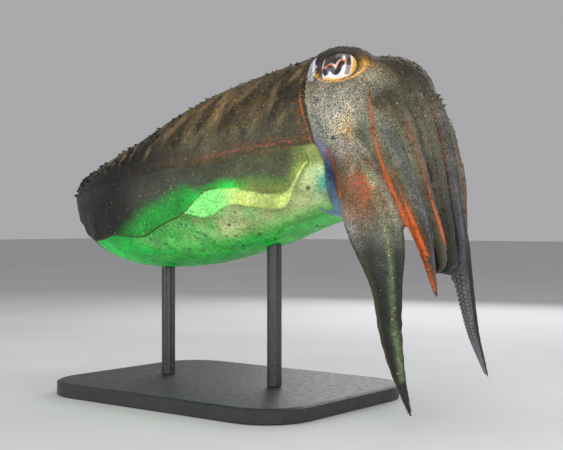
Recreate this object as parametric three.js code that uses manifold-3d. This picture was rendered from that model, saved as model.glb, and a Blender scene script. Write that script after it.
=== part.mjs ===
// A common cuttlefish as a still, life-size display model: head lifted, tail a little low, arms hanging.
// Millimetres, +Z up. The head points to +X, the animal's right side to -Y, and the origin is under the
// middle of the stand's base, on the surface that it stands on.
import * as THREE from "three";
import { mergeVertices } from "three/addons/utils/BufferGeometryUtils.js";
import Module from "manifold-3d";

const wasm = await Module();
wasm.setup();

// Driving sizes
const GAP = 0.3; // between pieces that touch
const MANTLE_LENGTH = 158; // along its own axis, from the middle of the front margin to the tail
const MANTLE_PITCH = 11.8; // degrees that the head end is raised
const MANTLE_FRONT = new THREE.Vector3(53, 0, 104); // a point on the axis just behind the margin
const WALL = 3.6; // thickness of the mantle's edge
const OPENING_FLOOR = -2; // how far back the opening round the neck reaches, along the axis
const CROWN = new THREE.Vector3(80.5, 0, 110); // middle of the ring of arms where it leaves the head
const CROWN_PITCH = -17; // degrees, below the horizontal
const EYE_CENTRE = new THREE.Vector3(74, -17.5, 127);
const EYE_RADIUS = 10.4;
const EYE_LOOK = { forward: 0.22, up: 0.26 }; // beside 1 to the side
const EYE_OPENING = { length: 19.5, height: 11 };
const LID = 1.5; // thickness of the skin over the eye
const BASE = { length: 130, width: 96, height: 6, corner: 20 };
const ROD_RADIUS = 3;

const SIDES = { right: -1, left: 1 };

const rad = THREE.MathUtils.degToRad;
const lerp = THREE.MathUtils.lerp;
const clamp = THREE.MathUtils.clamp;
const V = (x, y, z) => new THREE.Vector3(x, y, z);

// Smooth rise from 0 to 1 as x goes from a to b.
function rise(a, b, x) {
  const t = clamp((x - a) / (b - a), 0, 1);
  return t * t * (3 - 2 * t);
}

// A smooth curve of numbers through evenly spaced keys, read at t from 0 to 1.
function through(keys, t) {
  const last = keys.length - 1;
  const x = clamp(t, 0, 1) * last;
  const i = Math.min(Math.floor(x), last - 1);
  const f = x - i;
  const at = (k) => keys[clamp(k, 0, last)];
  const [a, b, c, d] = [at(i - 1), at(i), at(i + 1), at(i + 2)];
  return b + 0.5 * f * (c - a + f * (2 * a - 5 * b + 4 * c - d + f * (3 * (b - c) + d - a)));
}

// Solids: a three.js geometry made into a closed solid, and back.
function solidOf(geometry) {
  const plain = new THREE.BufferGeometry().setAttribute("position", geometry.getAttribute("position"));
  plain.setIndex(geometry.index);
  const merged = mergeVertices(plain, 1e-4);
  return new wasm.Manifold(
    new wasm.Mesh({
      numProp: 3,
      vertProperties: new Float32Array(merged.attributes.position.array),
      triVerts: new Uint32Array(merged.index.array),
    }),
  );
}

// The largest closed surface of a solid, as a geometry.
function geometryOf(solid) {
  const pieces = solid.decompose().sort((a, b) => b.volume() - a.volume());
  const mesh = pieces[0].getMesh();
  const position = new Float32Array(mesh.numVert * 3);
  for (let i = 0; i < mesh.numVert; i++)
    position.set(mesh.vertProperties.subarray(i * mesh.numProp, i * mesh.numProp + 3), i * 3);
  const geometry = new THREE.BufferGeometry();
  geometry.setAttribute("position", new THREE.BufferAttribute(position, 3));
  geometry.setIndex(new THREE.BufferAttribute(new Uint32Array(mesh.triVerts), 1));
  return geometry;
}

// A closed skin over a row of rings, each with the same number of points, with a fan on each end, the last
// one sunk by dish. Its faces point out, whichever way the rings run.
function loft(rings, dish = 0) {
  const sides = rings[0].length;
  const points = rings.flat();
  const faces = [];
  for (let j = 0; j + 1 < rings.length; j++)
    for (let i = 0; i < sides; i++) {
      const a = j * sides + i;
      const b = j * sides + ((i + 1) % sides);
      faces.push(a, b, b + sides, a, b + sides, a + sides);
    }
  for (const [ring, start, flip] of [[rings[0], 0, true], [rings.at(-1), (rings.length - 1) * sides, false]]) {
    const middle = ring.reduce((sum, p) => sum.add(p), V(0, 0, 0)).divideScalar(sides);
    if (!flip && dish) {
      const inward = rings.at(-2).reduce((sum, p) => sum.add(p), V(0, 0, 0)).divideScalar(sides).sub(middle);
      middle.addScaledVector(inward.normalize(), dish);
    }
    const centre = points.push(middle) - 1;
    for (let i = 0; i < sides; i++) {
      const a = start + i;
      const b = start + ((i + 1) % sides);
      faces.push(...(flip ? [b, a, centre] : [a, b, centre]));
    }
  }
  let volume = 0;
  for (let i = 0; i < faces.length; i += 3)
    volume += points[faces[i]].dot(points[faces[i + 1]].clone().cross(points[faces[i + 2]]));
  if (volume < 0) faces.reverse();
  const geometry = new THREE.BufferGeometry().setFromPoints(points);
  geometry.setIndex(faces);
  return geometry;
}

// The mantle's own frame: forward along its axis, and up through its back.
const FORWARD = V(Math.cos(rad(MANTLE_PITCH)), 0, Math.sin(rad(MANTLE_PITCH)));
const UP = V(-Math.sin(rad(MANTLE_PITCH)), 0, Math.cos(rad(MANTLE_PITCH)));
const fromMantle = (x, y, z) =>
  MANTLE_FRONT.clone().addScaledVector(FORWARD, x).addScaledVector(UP, z).add(V(0, y, 0));

// Sizes along the mantle, evenly spaced from the margin to the tail: half its width, the heights of the
// back and of the belly from the line that the fins stand on, and that line's own place above the axis.
const FRONT_X = 12; // the margin's average place along the axis
const rounded = (t) => Math.sqrt(1 - t ** 5); // how the tail closes
const halfWidth = (t) => through([33.5, 36, 38.5, 39, 38, 34.5, 28, 18], t) * rounded(t);
const backHeight = (t) => through([38.2, 35.4, 32.7, 28, 20.6, 15.5, 13, 11], t) * rounded(t);
const bellyDepth = (t) => through([24.7, 29.1, 33.6, 36.9, 39.1, 40, 38.6, 36], t) * rounded(t);
const finLine = (t) => through([-5, -2, 0, 2, 5, 7, 8], t);

// How far the margin of the mantle stands forward of FRONT_X, round the body: a lobe on the nape and at
// each side, and a shallow bay under the funnel.
function marginOf(angle) {
  const up = Math.sin(angle);
  const side = Math.abs(Math.cos(angle));
  return 3.5 * side + (up > 0 ? 5 * up ** 6 : -9 * up ** 4) - 3 * Math.exp(-(((up - 0.5) / 0.3) ** 2));
}

// A point of the mantle's outside: t runs from the margin to the tail, angle from the animal's left.
function mantlePoint(t, angle, inset = 0) {
  const c = Math.cos(angle);
  const s = Math.sin(angle);
  const squareness = 0.88;
  const y = Math.sign(c) * Math.abs(c) ** squareness * (halfWidth(t) - inset);
  const height = (s > 0 ? backHeight(t) : bellyDepth(t)) - inset;
  const z = finLine(t) + Math.sign(s) * Math.abs(s) ** squareness * height;
  const x = FRONT_X - t * MANTLE_LENGTH + marginOf(angle) * (1 - rise(0, 0.3, t));
  return fromMantle(x, y, z);
}

function mantle(grow = 0) {
  const sides = 28;
  const steps = 18;
  const ring = (make) => Array.from({ length: sides }, (_, i) => make((-2 * Math.PI * i) / sides));
  const rings = [];
  const inside = (x, inset) =>
    ring((a) => {
      const lip = mantlePoint(0, a, inset);
      const along = lip.clone().sub(MANTLE_FRONT).dot(FORWARD);
      return lip.addScaledVector(FORWARD, lerp(OPENING_FLOOR, along, x) - along + grow);
    });
  rings.push(inside(0, WALL + 1.5 + grow), inside(0.5, WALL + grow), inside(0.94, WALL * 0.72 + grow));
  rings.push(ring((a) => mantlePoint(0, a, WALL * 0.3).addScaledVector(FORWARD, 0.4 + grow)));
  for (let j = 0; j <= steps; j++) {
    const t = 0.992 * Math.sin((Math.PI / 2) * (j / steps)) ** 1.15;
    rings.push(ring((a) => mantlePoint(t, a, -grow)));
  }
  return loft(rings);
}

// One fin: a thin blade rooted along the mantle's side, drooping and waved, narrow in front and broad behind.
const FIN_START = 0.02;
const FIN_END = 0.985;
const ROOT_DEPTH = 3; // how far the blade runs in before it is cut to the mantle's surface
const ROOT_THICKNESS = 4.2;
const EDGE_THICKNESS = 0.9;
function finShape(t) {
  const u = (t - FIN_START) / (FIN_END - FIN_START);
  const width = through([7, 16, 19, 17, 21, 28, 26, 12], u);
  const droop = through([70, 78, 74, 64, 74, 84, 90, 86], u);
  return { width: width * (0.35 + 0.65 * rise(0, 0.06, u)), droop: rad(droop) };
}

function fin(side) {
  const steps = 30;
  const across = 4;
  const rings = [];
  for (let j = 0; j <= steps; j++) {
    const t = lerp(FIN_START, FIN_END, j / steps);
    const angle = side > 0 ? 0 : Math.PI;
    const root = mantlePoint(t, angle);
    const back = mantlePoint(t + 0.008, angle).sub(mantlePoint(t - 0.008, angle)).normalize();
    const out = V(0, side, 0).addScaledVector(back, -back.y * side).normalize();
    const { width, droop } = finShape(t);
    const upper = [];
    const lower = [];
    const middle = root.clone().addScaledVector(out, -ROOT_DEPTH);
    for (let i = 0; i <= across; i++) {
      const w = i / across;
      const bend = droop * rise(-0.5, 0.7, w);
      const reach = V(0, 0, 0).addScaledVector(out, Math.cos(bend)).addScaledVector(UP, -Math.sin(bend));
      const normal = V(0, 0, 0).addScaledVector(out, Math.sin(bend)).addScaledVector(UP, Math.cos(bend));
      if (i > 0) middle.addScaledVector(reach, (width + ROOT_DEPTH) / across);
      const half = lerp(ROOT_THICKNESS, EDGE_THICKNESS, w) / 2;
      upper.push(middle.clone().addScaledVector(normal, half));
      lower.push(middle.clone().addScaledVector(normal, -half));
    }
    rings.push([...upper, ...lower.reverse()]);
  }
  return loft(rings);
}

// Each arm pair, from the back of the head to the belly: stations of its middle line, evenly spaced along
// it, with y to its own side, its breadth and thickness there, and which way its outer face looks, in
// degrees round the arm from the animal's back. The left arm of a pair ends by "left" from the mirrored
// place of the right one.
const ARMS = {
  1: {
    x: [83, 95.5, 102, 105.3, 108, 108, 100.5],
    y: [7, 6.3, 5.2, 4.6, 4, 3.6, 3.4],
    z: [128, 115.5, 97.5, 81, 68, 57.3, 55.5],
    breadth: [12.6, 11, 9.4, 8.4, 6.8, 5, 1.6],
    thickness: [13, 10.4, 8.6, 7.4, 6, 4.4, 1.5],
    face: [20, 16, 12, 10, 10, 10, 10],
    left: [1, 0, -1],
  },
  2: {
    x: [84, 94, 100.5, 104.8, 107.8, 108.8, 105.5],
    y: [17, 16.2, 14.4, 13, 11, 9.9, 9],
    z: [122.5, 109.5, 94, 79.5, 67, 58.5, 54.5],
    breadth: [12, 10.8, 8.8, 7.6, 6.4, 4.8, 1.5],
    thickness: [12, 9.6, 8, 6.8, 5.6, 4.2, 1.4],
    face: [62, 56, 50, 46, 44, 42, 42],
    left: [-4, 0.5, 1],
  },
  3: {
    x: [79.5, 91, 98, 103, 105.8, 107.6, 109.5],
    y: [19.5, 21.5, 21.5, 20, 17.6, 15.6, 14],
    z: [113, 104, 92, 79, 68.5, 58.5, 46.5],
    breadth: [13, 11.6, 10.4, 9.4, 7.4, 4.8, 1.4],
    thickness: [12, 9, 7.6, 6.4, 5.2, 3.6, 1.2],
    face: [100, 84, 70, 60, 56, 54, 54],
    left: [-10, 3, 3],
  },
  4: {
    x: [72, 86, 93.2, 96.6, 98, 100.5, 105.7],
    y: [17, 24.5, 26, 26, 26, 25.2, 25],
    z: [98, 80, 66, 50, 35.5, 21.5, 6],
    breadth: [18, 20.5, 19, 11.6, 8.8, 5.8, 1.4],
    thickness: [13, 10.4, 8, 6.4, 5.2, 3.8, 1.3],
    face: [128, 84, 62, 58, 56, 56, 56],
    left: [3, 1.5, 8],
  },
};

// The middle of an arm at s from 0 to 1, side +1 for the animal's left.
function armPoint(arm, side, s) {
  const point = V(through(arm.x, s), side * through(arm.y, s), through(arm.z, s));
  return side > 0 ? point.addScaledVector(V(...arm.left), rise(0.1, 1, s)) : point;
}

// The arm's frame at s: along it, outward (away from the suckers) and across.
function armFrame(arm, side, s) {
  const h = 0.01;
  const centre = armPoint(arm, side, s);
  const tangent = armPoint(arm, side, Math.min(1, s + h)).sub(armPoint(arm, side, Math.max(0, s - h)));
  tangent.normalize();
  const back = tangent.clone().cross(V(0, 1, 0)).normalize();
  const angle = rad(through(arm.face, s));
  const outward = back.multiplyScalar(Math.cos(angle)).add(V(0, side * Math.sin(angle), 0));
  outward.addScaledVector(tangent, -outward.dot(tangent)).normalize();
  return { centre, tangent, outward, across: tangent.clone().cross(outward) };
}

const INNER_FLATNESS = 0.78; // of an arm's side that has the suckers, against its outer side

// A length of arm from s0 to s1, larger by grow all round.
function armLength(arm, side, s0, s1, steps, grow = 0) {
  const sides = 8;
  const rings = [];
  for (let j = 0; j <= steps; j++) {
    const s = lerp(s0, s1, j / steps);
    const { centre, outward, across } = armFrame(arm, side, s);
    const breadth = through(arm.breadth, s) / 2 + grow;
    const thickness = through(arm.thickness, s) / 2 + grow;
    const ring = [];
    for (let i = 0; i < sides; i++) {
      const a = (2 * Math.PI * i) / sides;
      const x = Math.cos(a) * breadth;
      const y = Math.sin(a) * thickness * (Math.sin(a) > 0 ? 1 : INNER_FLATNESS);
      ring.push(centre.clone().addScaledVector(across, x).addScaledVector(outward, y));
    }
    rings.push(ring);
  }
  return loft(rings);
}

// One sucker: a six-sided cup on a sunken foot, at a place between 0 and 1 on the arm. Row is -1 or 1.
function sucker(arm, side, s, row, grow) {
  const { centre, tangent, outward, across } = armFrame(arm, side, s);
  const breadth = through(arm.breadth, s) / 2;
  const thickness = (through(arm.thickness, s) / 2) * INNER_FLATNESS;
  const radius = 0.1 + 0.3 * breadth;
  const aside = 0.5 * row;
  const depth = Math.sqrt(1 - aside * aside);
  const foot = centre.clone().addScaledVector(across, aside * breadth).addScaledVector(outward, -depth * thickness);
  const axis = V(0, 0, 0).addScaledVector(across, aside / breadth).addScaledVector(outward, -depth / thickness);
  axis.normalize();
  const left = tangent.clone().cross(axis);
  const ring = (r, height) =>
    Array.from({ length: 6 }, (_, i) => {
      const a = (Math.PI * i) / 3;
      const at = foot.clone().addScaledVector(axis, height);
      return at.addScaledVector(tangent, r * Math.cos(a)).addScaledVector(left, r * Math.sin(a));
    });
  const height = 0.75 * radius;
  return solidOf(
    loft([ring(0.7 * radius + grow, -0.7 * radius), ring(radius + grow, height + grow)], 0.45 * height),
  );
}

// An arm's length with its two staggered rows of suckers, larger by grow all round.
function suckered(arm, side, [, s0, s1, steps, first, last, count], grow = 0) {
  let solid = solidOf(armLength(arm, side, s0, s1, steps, grow));
  const pitch = (last - first) / count;
  for (const row of [-1, 1])
    for (let k = 0; k < count; k++)
      solid = solid.add(sucker(arm, side, first + pitch * (k + 0.5 + 0.2 * row), row, grow));
  return solid;
}

// The head, larger by grow all round: from the neck to the crown, then a rounded front that the arms leave,
// and a bulge round each eye.
const FRONT_RINGS = [[4, 0.92], [8, 0.74]]; // forward of the crown, and size against it
function headForm(grow) {
  const sides = 24;
  const steps = 6;
  const neck = fromMantle(OPENING_FLOOR + GAP, 0, 6);
  const rings = [];
  const ringAt = (u, ahead, size) => {
    const pitch = rad(lerp(MANTLE_PITCH, CROWN_PITCH, u) - 1.5 * ahead);
    const forward = V(Math.cos(pitch), 0, Math.sin(pitch));
    const up = V(-Math.sin(pitch), 0, Math.cos(pitch));
    const centre = neck.clone().lerp(CROWN, u).addScaledVector(forward, ahead + (grow - GAP) * u);
    const wide = size * through([27, 29, 30, 29, 26.5], u) + grow;
    const crest = size * through([20, 24, 27, 27, 26], u) + grow;
    const chin = size * through([19, 21, 22.5, 23, 21.5], u) + grow;
    return Array.from({ length: sides }, (_, i) => {
      const a = (-2 * Math.PI * i) / sides;
      const y = Math.sign(Math.cos(a)) * Math.abs(Math.cos(a)) ** 0.92 * wide;
      const z = Math.sign(Math.sin(a)) * Math.abs(Math.sin(a)) ** 0.92 * (Math.sin(a) > 0 ? crest : chin);
      return centre.clone().addScaledVector(up, z).add(V(0, y, 0));
    });
  };
  for (let j = 0; j <= steps; j++) rings.push(ringAt(j / steps, 0, 1));
  for (const [ahead, size] of FRONT_RINGS) rings.push(ringAt(1, ahead, size));
  let solid = solidOf(loft(rings));
  for (const side of Object.values(SIDES)) {
    const bulge = new THREE.SphereGeometry(EYE_RADIUS + LID + grow, 18, 12);
    bulge.scale(1.35, 1, 1).rotateY(rad(8));
    bulge.translate(EYE_CENTRE.x - 1, -side * (EYE_CENTRE.y + 0.5), EYE_CENTRE.z - 0.5);
    solid = solid.add(solidOf(bulge));
  }
  return solid;
}

function head() {
  let solid = headForm(0).subtract(mantleGrown);
  for (const side of Object.values(SIDES))
    solid = solid.subtract(solidOf(eyeball(side, GAP))).subtract(solidOf(eyeOpening(side)));
  return geometryOf(solid);
}

const eyeCentre = (side) => V(EYE_CENTRE.x, -side * EYE_CENTRE.y, EYE_CENTRE.z);
function eyeball(side, grow = 0) {
  const ball = new THREE.SphereGeometry(EYE_RADIUS + grow, 16, 10);
  return ball.translate(...eyeCentre(side));
}

// The opening between the lids, a long rounded slot that looks out to the side.
function eyeOpening(side) {
  const slot = new THREE.CylinderGeometry(1, 1, 2 * EYE_RADIUS, 16);
  slot.scale(EYE_OPENING.length / 2, 1, EYE_OPENING.height / 2).translate(0, EYE_RADIUS + 4, 0);
  const look = V(EYE_LOOK.forward, side, EYE_LOOK.up).normalize();
  const along = look.clone().cross(V(0, 0, 1)).normalize();
  const turn = new THREE.Matrix4().makeBasis(along, look, along.clone().cross(look));
  return slot.applyMatrix4(turn).translate(...eyeCentre(side));
}

// The funnel: a short tube under the head with an open end, which widens behind into a collar that fills
// the lower part of the mantle's opening.
function funnel() {
  const sides = 20;
  const start = fromMantle(OPENING_FLOOR + GAP, 0, -15);
  const end = V(79, 0, 80);
  const bore = 0.74; // of the open end, against its outside
  const outside = [[0, 27, 12.5], [0.25, 26, 12], [0.5, 15, 9], [0.72, 8.6, 6.4], [0.9, 7.2, 5.4], [1, 6.8, 5]];
  const inside = [[1, 6.8 * bore, 5 * bore], [0.75, 6 * bore, 4.4 * bore]];
  const rings = [...outside, ...inside].map(([u, wide, high]) => {
    const pitch = rad(lerp(MANTLE_PITCH, -14, rise(0, 1, u)));
    const up = V(-Math.sin(pitch), 0, Math.cos(pitch));
    const centre = start.clone().lerp(end, u);
    return Array.from({ length: sides }, (_, i) => {
      const a = (-2 * Math.PI * i) / sides;
      const point = centre.clone().add(V(0, Math.cos(a) * wide, 0));
      return point.addScaledVector(up, Math.sin(a) * high);
    });
  });
  return loft(rings);
}

const MOUTH_PLACE = 6; // along the crown's axis
// The mouth: a low cone of lips in the middle of the ring of arms.
function mouth() {
  const profile = [[0, 0], [8, 0], [7.6, 3], [5.8, 6.5], [3.2, 8.6], [1.9, 8], [1.2, 5.6], [0, 5]];
  const cone = new THREE.LatheGeometry(profile.map(([r, y]) => new THREE.Vector2(r, y)), 18);
  const direction = V(Math.cos(rad(CROWN_PITCH)), 0, Math.sin(rad(CROWN_PITCH)));
  cone.applyQuaternion(new THREE.Quaternion().setFromUnitVectors(V(0, 1, 0), direction));
  return cone.translate(...CROWN.clone().addScaledVector(direction, MOUTH_PLACE));
}

function standBase() {
  const { length, width, height, corner } = BASE;
  const shape = new THREE.Shape();
  const [x, y] = [length / 2, width / 2];
  shape.moveTo(-x + corner, -y).lineTo(x - corner, -y);
  shape.absarc(x - corner, -y + corner, corner, -Math.PI / 2, 0, false);
  shape.absarc(x - corner, y - corner, corner, 0, Math.PI / 2, false);
  shape.absarc(-x + corner, y - corner, corner, Math.PI / 2, Math.PI, false);
  shape.absarc(-x + corner, -y + corner, corner, Math.PI, 1.5 * Math.PI, false);
  return new THREE.ExtrudeGeometry(shape, {
    depth: height - 1.2,
    bevelSize: 1.2,
    bevelOffset: -1.2,
    bevelThickness: 0.6,
    bevelSegments: 1,
    curveSegments: 5,
  }).translate(0, 0, 0.6);
}

const group = new THREE.Group();
const matter = (color, roughness, metalness = 0) =>
  new THREE.MeshStandardMaterial({ color, roughness, metalness });
const SKIN = matter(0x6e6a58, 0.55);
const FIN_SKIN = matter(0x6f8a72, 0.5);
const PALE = matter(0xb9b7c4, 0.5);
const EYE = matter(0x15110f, 0.12);
const STAND = matter(0x24262a, 0.45);
const STEEL = matter(0xb4b6b8, 0.3, 1);

function put(name, geometry, material) {
  const mesh = new THREE.Mesh(geometry, material);
  mesh.name = name;
  group.add(mesh);
}

const mantleGeometry = mantle();
const mantleGrown = solidOf(mantle(GAP));
put("mantle", mantleGeometry, SKIN);
for (const [name, side] of Object.entries(SIDES)) {
  put("fin_" + name, geometryOf(solidOf(fin(side)).subtract(mantleGrown)), FIN_SKIN);
  put("eye_" + name, eyeball(side), EYE);
}
put("head", head(), SKIN);
const headGrown = headForm(GAP);
put("funnel", geometryOf(solidOf(funnel()).subtract(mantleGrown).subtract(headGrown)), PALE);

// Arms from the belly pair up, each cut clear of those already placed. A length of arm runs between two
// places on it, in so many steps, with so many suckers in a row from a first place to a last.
const CLEAR = 0.4;
const LENGTHS = [
  ["base", 0, 0.5, 7, 0.15, 0.48, 3],
  ["tip", 0.504, 1, 9, 0.525, 0.97, 4],
];
let mouthSolid = solidOf(mouth());
for (const [sideName, side] of Object.entries(SIDES)) {
  let placed = headGrown;
  for (const number of [4, 3, 2, 1]) {
    const arm = ARMS[number];
    for (const length of LENGTHS) {
      let solid = suckered(arm, side, length).subtract(placed);
      if (number === 1) solid = solid.trimByPlane([0, side, 0], GAP / 2);
      put(`arm_${number}_${sideName}_${length[0]}`, geometryOf(solid), SKIN);
    }
    for (const length of LENGTHS) placed = placed.add(suckered(arm, side, length, CLEAR));
  }
  mouthSolid = mouthSolid.subtract(placed);
}
put("mouth", geometryOf(mouthSolid), PALE);

// The stand: a flat base and two rods up to the belly.
put("stand_base", standBase(), STAND);
const mantleSolid = solidOf(mantleGeometry);
for (const [name, x] of [["front", 26], ["rear", -34]]) {
  const top = 100;
  const rod = new THREE.CylinderGeometry(ROD_RADIUS, ROD_RADIUS, top - BASE.height - GAP, 20);
  rod.rotateX(Math.PI / 2).translate(x, 0, (top + BASE.height + GAP) / 2);
  const lifted = mantleSolid.translate([0, 0, -GAP]);
  put("stand_rod_" + name, geometryOf(solidOf(rod).subtract(lifted).subtract(mantleSolid)), STEEL);
}

export default group;
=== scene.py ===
# A common cuttlefish on its display stand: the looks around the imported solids.
# Sizes are in millimetres, in the solids' frame, and become metres where a mesh is made. The head points
# to +X, and the animal's right side to -Y.
import math

import bpy
import numpy as np
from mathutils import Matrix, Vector


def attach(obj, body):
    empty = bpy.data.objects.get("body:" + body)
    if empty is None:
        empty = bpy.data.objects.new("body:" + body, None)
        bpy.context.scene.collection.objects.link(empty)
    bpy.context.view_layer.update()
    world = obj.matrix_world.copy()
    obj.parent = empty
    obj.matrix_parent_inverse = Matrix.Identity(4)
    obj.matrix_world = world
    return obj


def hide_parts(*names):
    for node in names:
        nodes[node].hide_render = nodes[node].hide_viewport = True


MM = 0.001
SEED = 7

# Driving sizes of the solids
MANTLE_LENGTH = 158
MANTLE_PITCH = math.radians(11.8)
MANTLE_FRONT = np.array([53.0, 0.0, 104.0])
MARGIN_PLACE = 12
MARGIN_FADE = 0.3  # how far back the margin's lobes still bend the mantle's rings
WALL = 3.6
OPENING_FLOOR = -2
CROWN = np.array([80.5, 0.0, 110.0])
CROWN_PITCH = math.radians(-17)
EYE_CENTRE = np.array([74.0, -17.5, 127.0])  # of the right eye
EYE_RADIUS = 10.4
EYE_LOOK = np.array([0.22, -1.0, 0.26])  # of the right eye
EYE_OPENING = (19.5, 11.0)
LID = 1.5
INNER_FLATNESS = 0.78
SQUARENESS = 0.88  # of the mantle's section, where 1 is an oval
FIN_START, FIN_END = 0.02, 0.985
FIN_ROOT_DEPTH = 3
FIN_ROOT_THICKNESS, FIN_EDGE_THICKNESS = 4.0, 0.6
# Keys evenly spaced along the fin, from its front: width, how many degrees it droops, place of the thin
# brown line, end of the grey band
FIN_WIDTHS = [16, 22, 20.5, 17.6, 21, 18.5, 21.5, 25, 24, 22, 22.5, 22, 19, 14, 9, 5]
FIN_DROOPS = [78, 82, 80, 77, 80, 85, 90, 86]
FIN_LINE = [0.9, 0.78, 0.73, 0.68, 0.6, 0.96, 1, 1, 1, 1, 1, 1, 1, 1, 1, 1]
FIN_GREY = [0.5, 0.45, 0.42, 0.43, 0.45, 0.55, 0.8, 1.0, 1.1, 1.1, 1.1]
# Long warts on the back: place along the mantle, degrees round it, height
LONG_WARTS = [(0.56, 84, 2.9), (0.6, 97, 2.4), (0.64, 88, 2.0), (0.97, 60, 2.6), (0.9, 95, 1.8)]
BACK_WARTS, ARM_WARTS, CROWN_WARTS = 460, 170, 9
SUCKERS_START, SUCKERS_END = 0.16, 0.975
LIP = 2.2  # how much farther forward the soft margin reaches, low on each side
OPENING_DEPTH = 5.5  # from the mantle's margin down to the collar flesh that fills its opening
SKIN_INSET = 0.15  # how far the skin keeps inside the solids
VOXEL = 0.62
EYE_SLOT_POWER = 2.3
MARK_DEPTH = 0.2  # how much a coloured line's distance counts along the photograph's viewing direction

# The camera, at the photograph's viewing angle
CAMERA_PLACE = np.array([293.0, -337.0, 72.0])
CAMERA_AZIMUTH = math.radians(38)
CAMERA_LENS = 67.18
SENSOR = 36

# The stage: each light's place, what it points at, its size, its power in watts and its colour
FLOOR_REACH = 4000
BACKGROUND = (0.4, 0.4, 0.41, 1)
LIGHTS = {
    "key": ((330, -430, 260), (30, 0, 75), 350, 1.7, (1, 0.98, 0.95)),
    "fill": ((-260, -450, 160), (0, 0, 70), 400, 0.8, (0.95, 0.98, 1)),
    "rear": ((-120, 460, 280), (10, 0, 80), 400, 1.2, (0.97, 0.98, 1)),
    "front": ((480, 160, 200), (90, 0, 70), 350, 0.7, (0.97, 0.98, 1)),
    "top": ((20, 0, 600), (10, 0, 100), 400, 0.6, (1, 1, 1)),
}

FORWARD = np.array([math.cos(MANTLE_PITCH), 0, math.sin(MANTLE_PITCH)])
UP = np.array([-math.sin(MANTLE_PITCH), 0, math.cos(MANTLE_PITCH)])
SIDEWAYS = np.array([0.0, 1.0, 0.0])
SIDES = {"right": -1, "left": 1}

# Stations of the middle line of each arm, as in the solids
ARMS = {
    1: {
        "x": [83, 95.5, 102, 105.3, 108, 108, 100.5],
        "y": [7, 6.3, 5.2, 4.6, 4, 3.6, 3.4],
        "z": [128, 115.5, 97.5, 81, 68, 57.3, 55.5],
        "breadth": [12.6, 11, 9.4, 8.4, 6.8, 5, 1.6],
        "thickness": [13, 10.4, 8.6, 7.4, 6, 4.4, 1.5],
        "face": [20, 16, 12, 10, 10, 10, 10],
        "left": [1, 0, -1],
    },
    2: {
        "x": [84, 94, 100.5, 104.8, 107.8, 108.8, 105.5],
        "y": [17, 16.2, 14.4, 13, 11, 9.9, 9],
        "z": [122.5, 109.5, 94, 79.5, 67, 58.5, 54.5],
        "breadth": [12, 10.8, 8.8, 7.6, 6.4, 4.8, 1.5],
        "thickness": [12, 9.6, 8, 6.8, 5.6, 4.2, 1.4],
        "face": [62, 56, 50, 46, 44, 42, 42],
        "left": [-4, 0.5, 1],
    },
    3: {
        "x": [79.5, 91, 98, 103, 105.8, 107.6, 109.5],
        "y": [19.5, 21.5, 21.5, 20, 17.6, 15.6, 14],
        "z": [113, 104, 92, 79, 68.5, 58.5, 46.5],
        "breadth": [13, 11.6, 10.4, 9.4, 7.4, 4.8, 1.4],
        "thickness": [12, 9, 7.6, 6.4, 5.2, 3.6, 1.2],
        "face": [100, 84, 70, 60, 56, 54, 54],
        "left": [-10, 3, 3],
    },
    4: {
        "x": [72, 86, 93.2, 96.6, 98, 100.5, 105.7],
        "y": [17, 24.5, 26, 26, 26, 25.2, 25],
        "z": [98, 80, 66, 50, 35.5, 21.5, 6],
        "breadth": [18, 20.5, 19, 11.6, 8.8, 5.8, 1.4],
        "thickness": [13, 10.4, 8, 6.4, 5.2, 3.8, 1.3],
        "face": [128, 84, 62, 58, 56, 56, 56],
        "left": [3, 1.5, 8],
    },
}

# How far out on an arm, and on the next one up, the web between them runs
WEBS = {4: (0.33, 0.58), 3: (0.36, 0.36), 2: (0.36, 0.36)}

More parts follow.
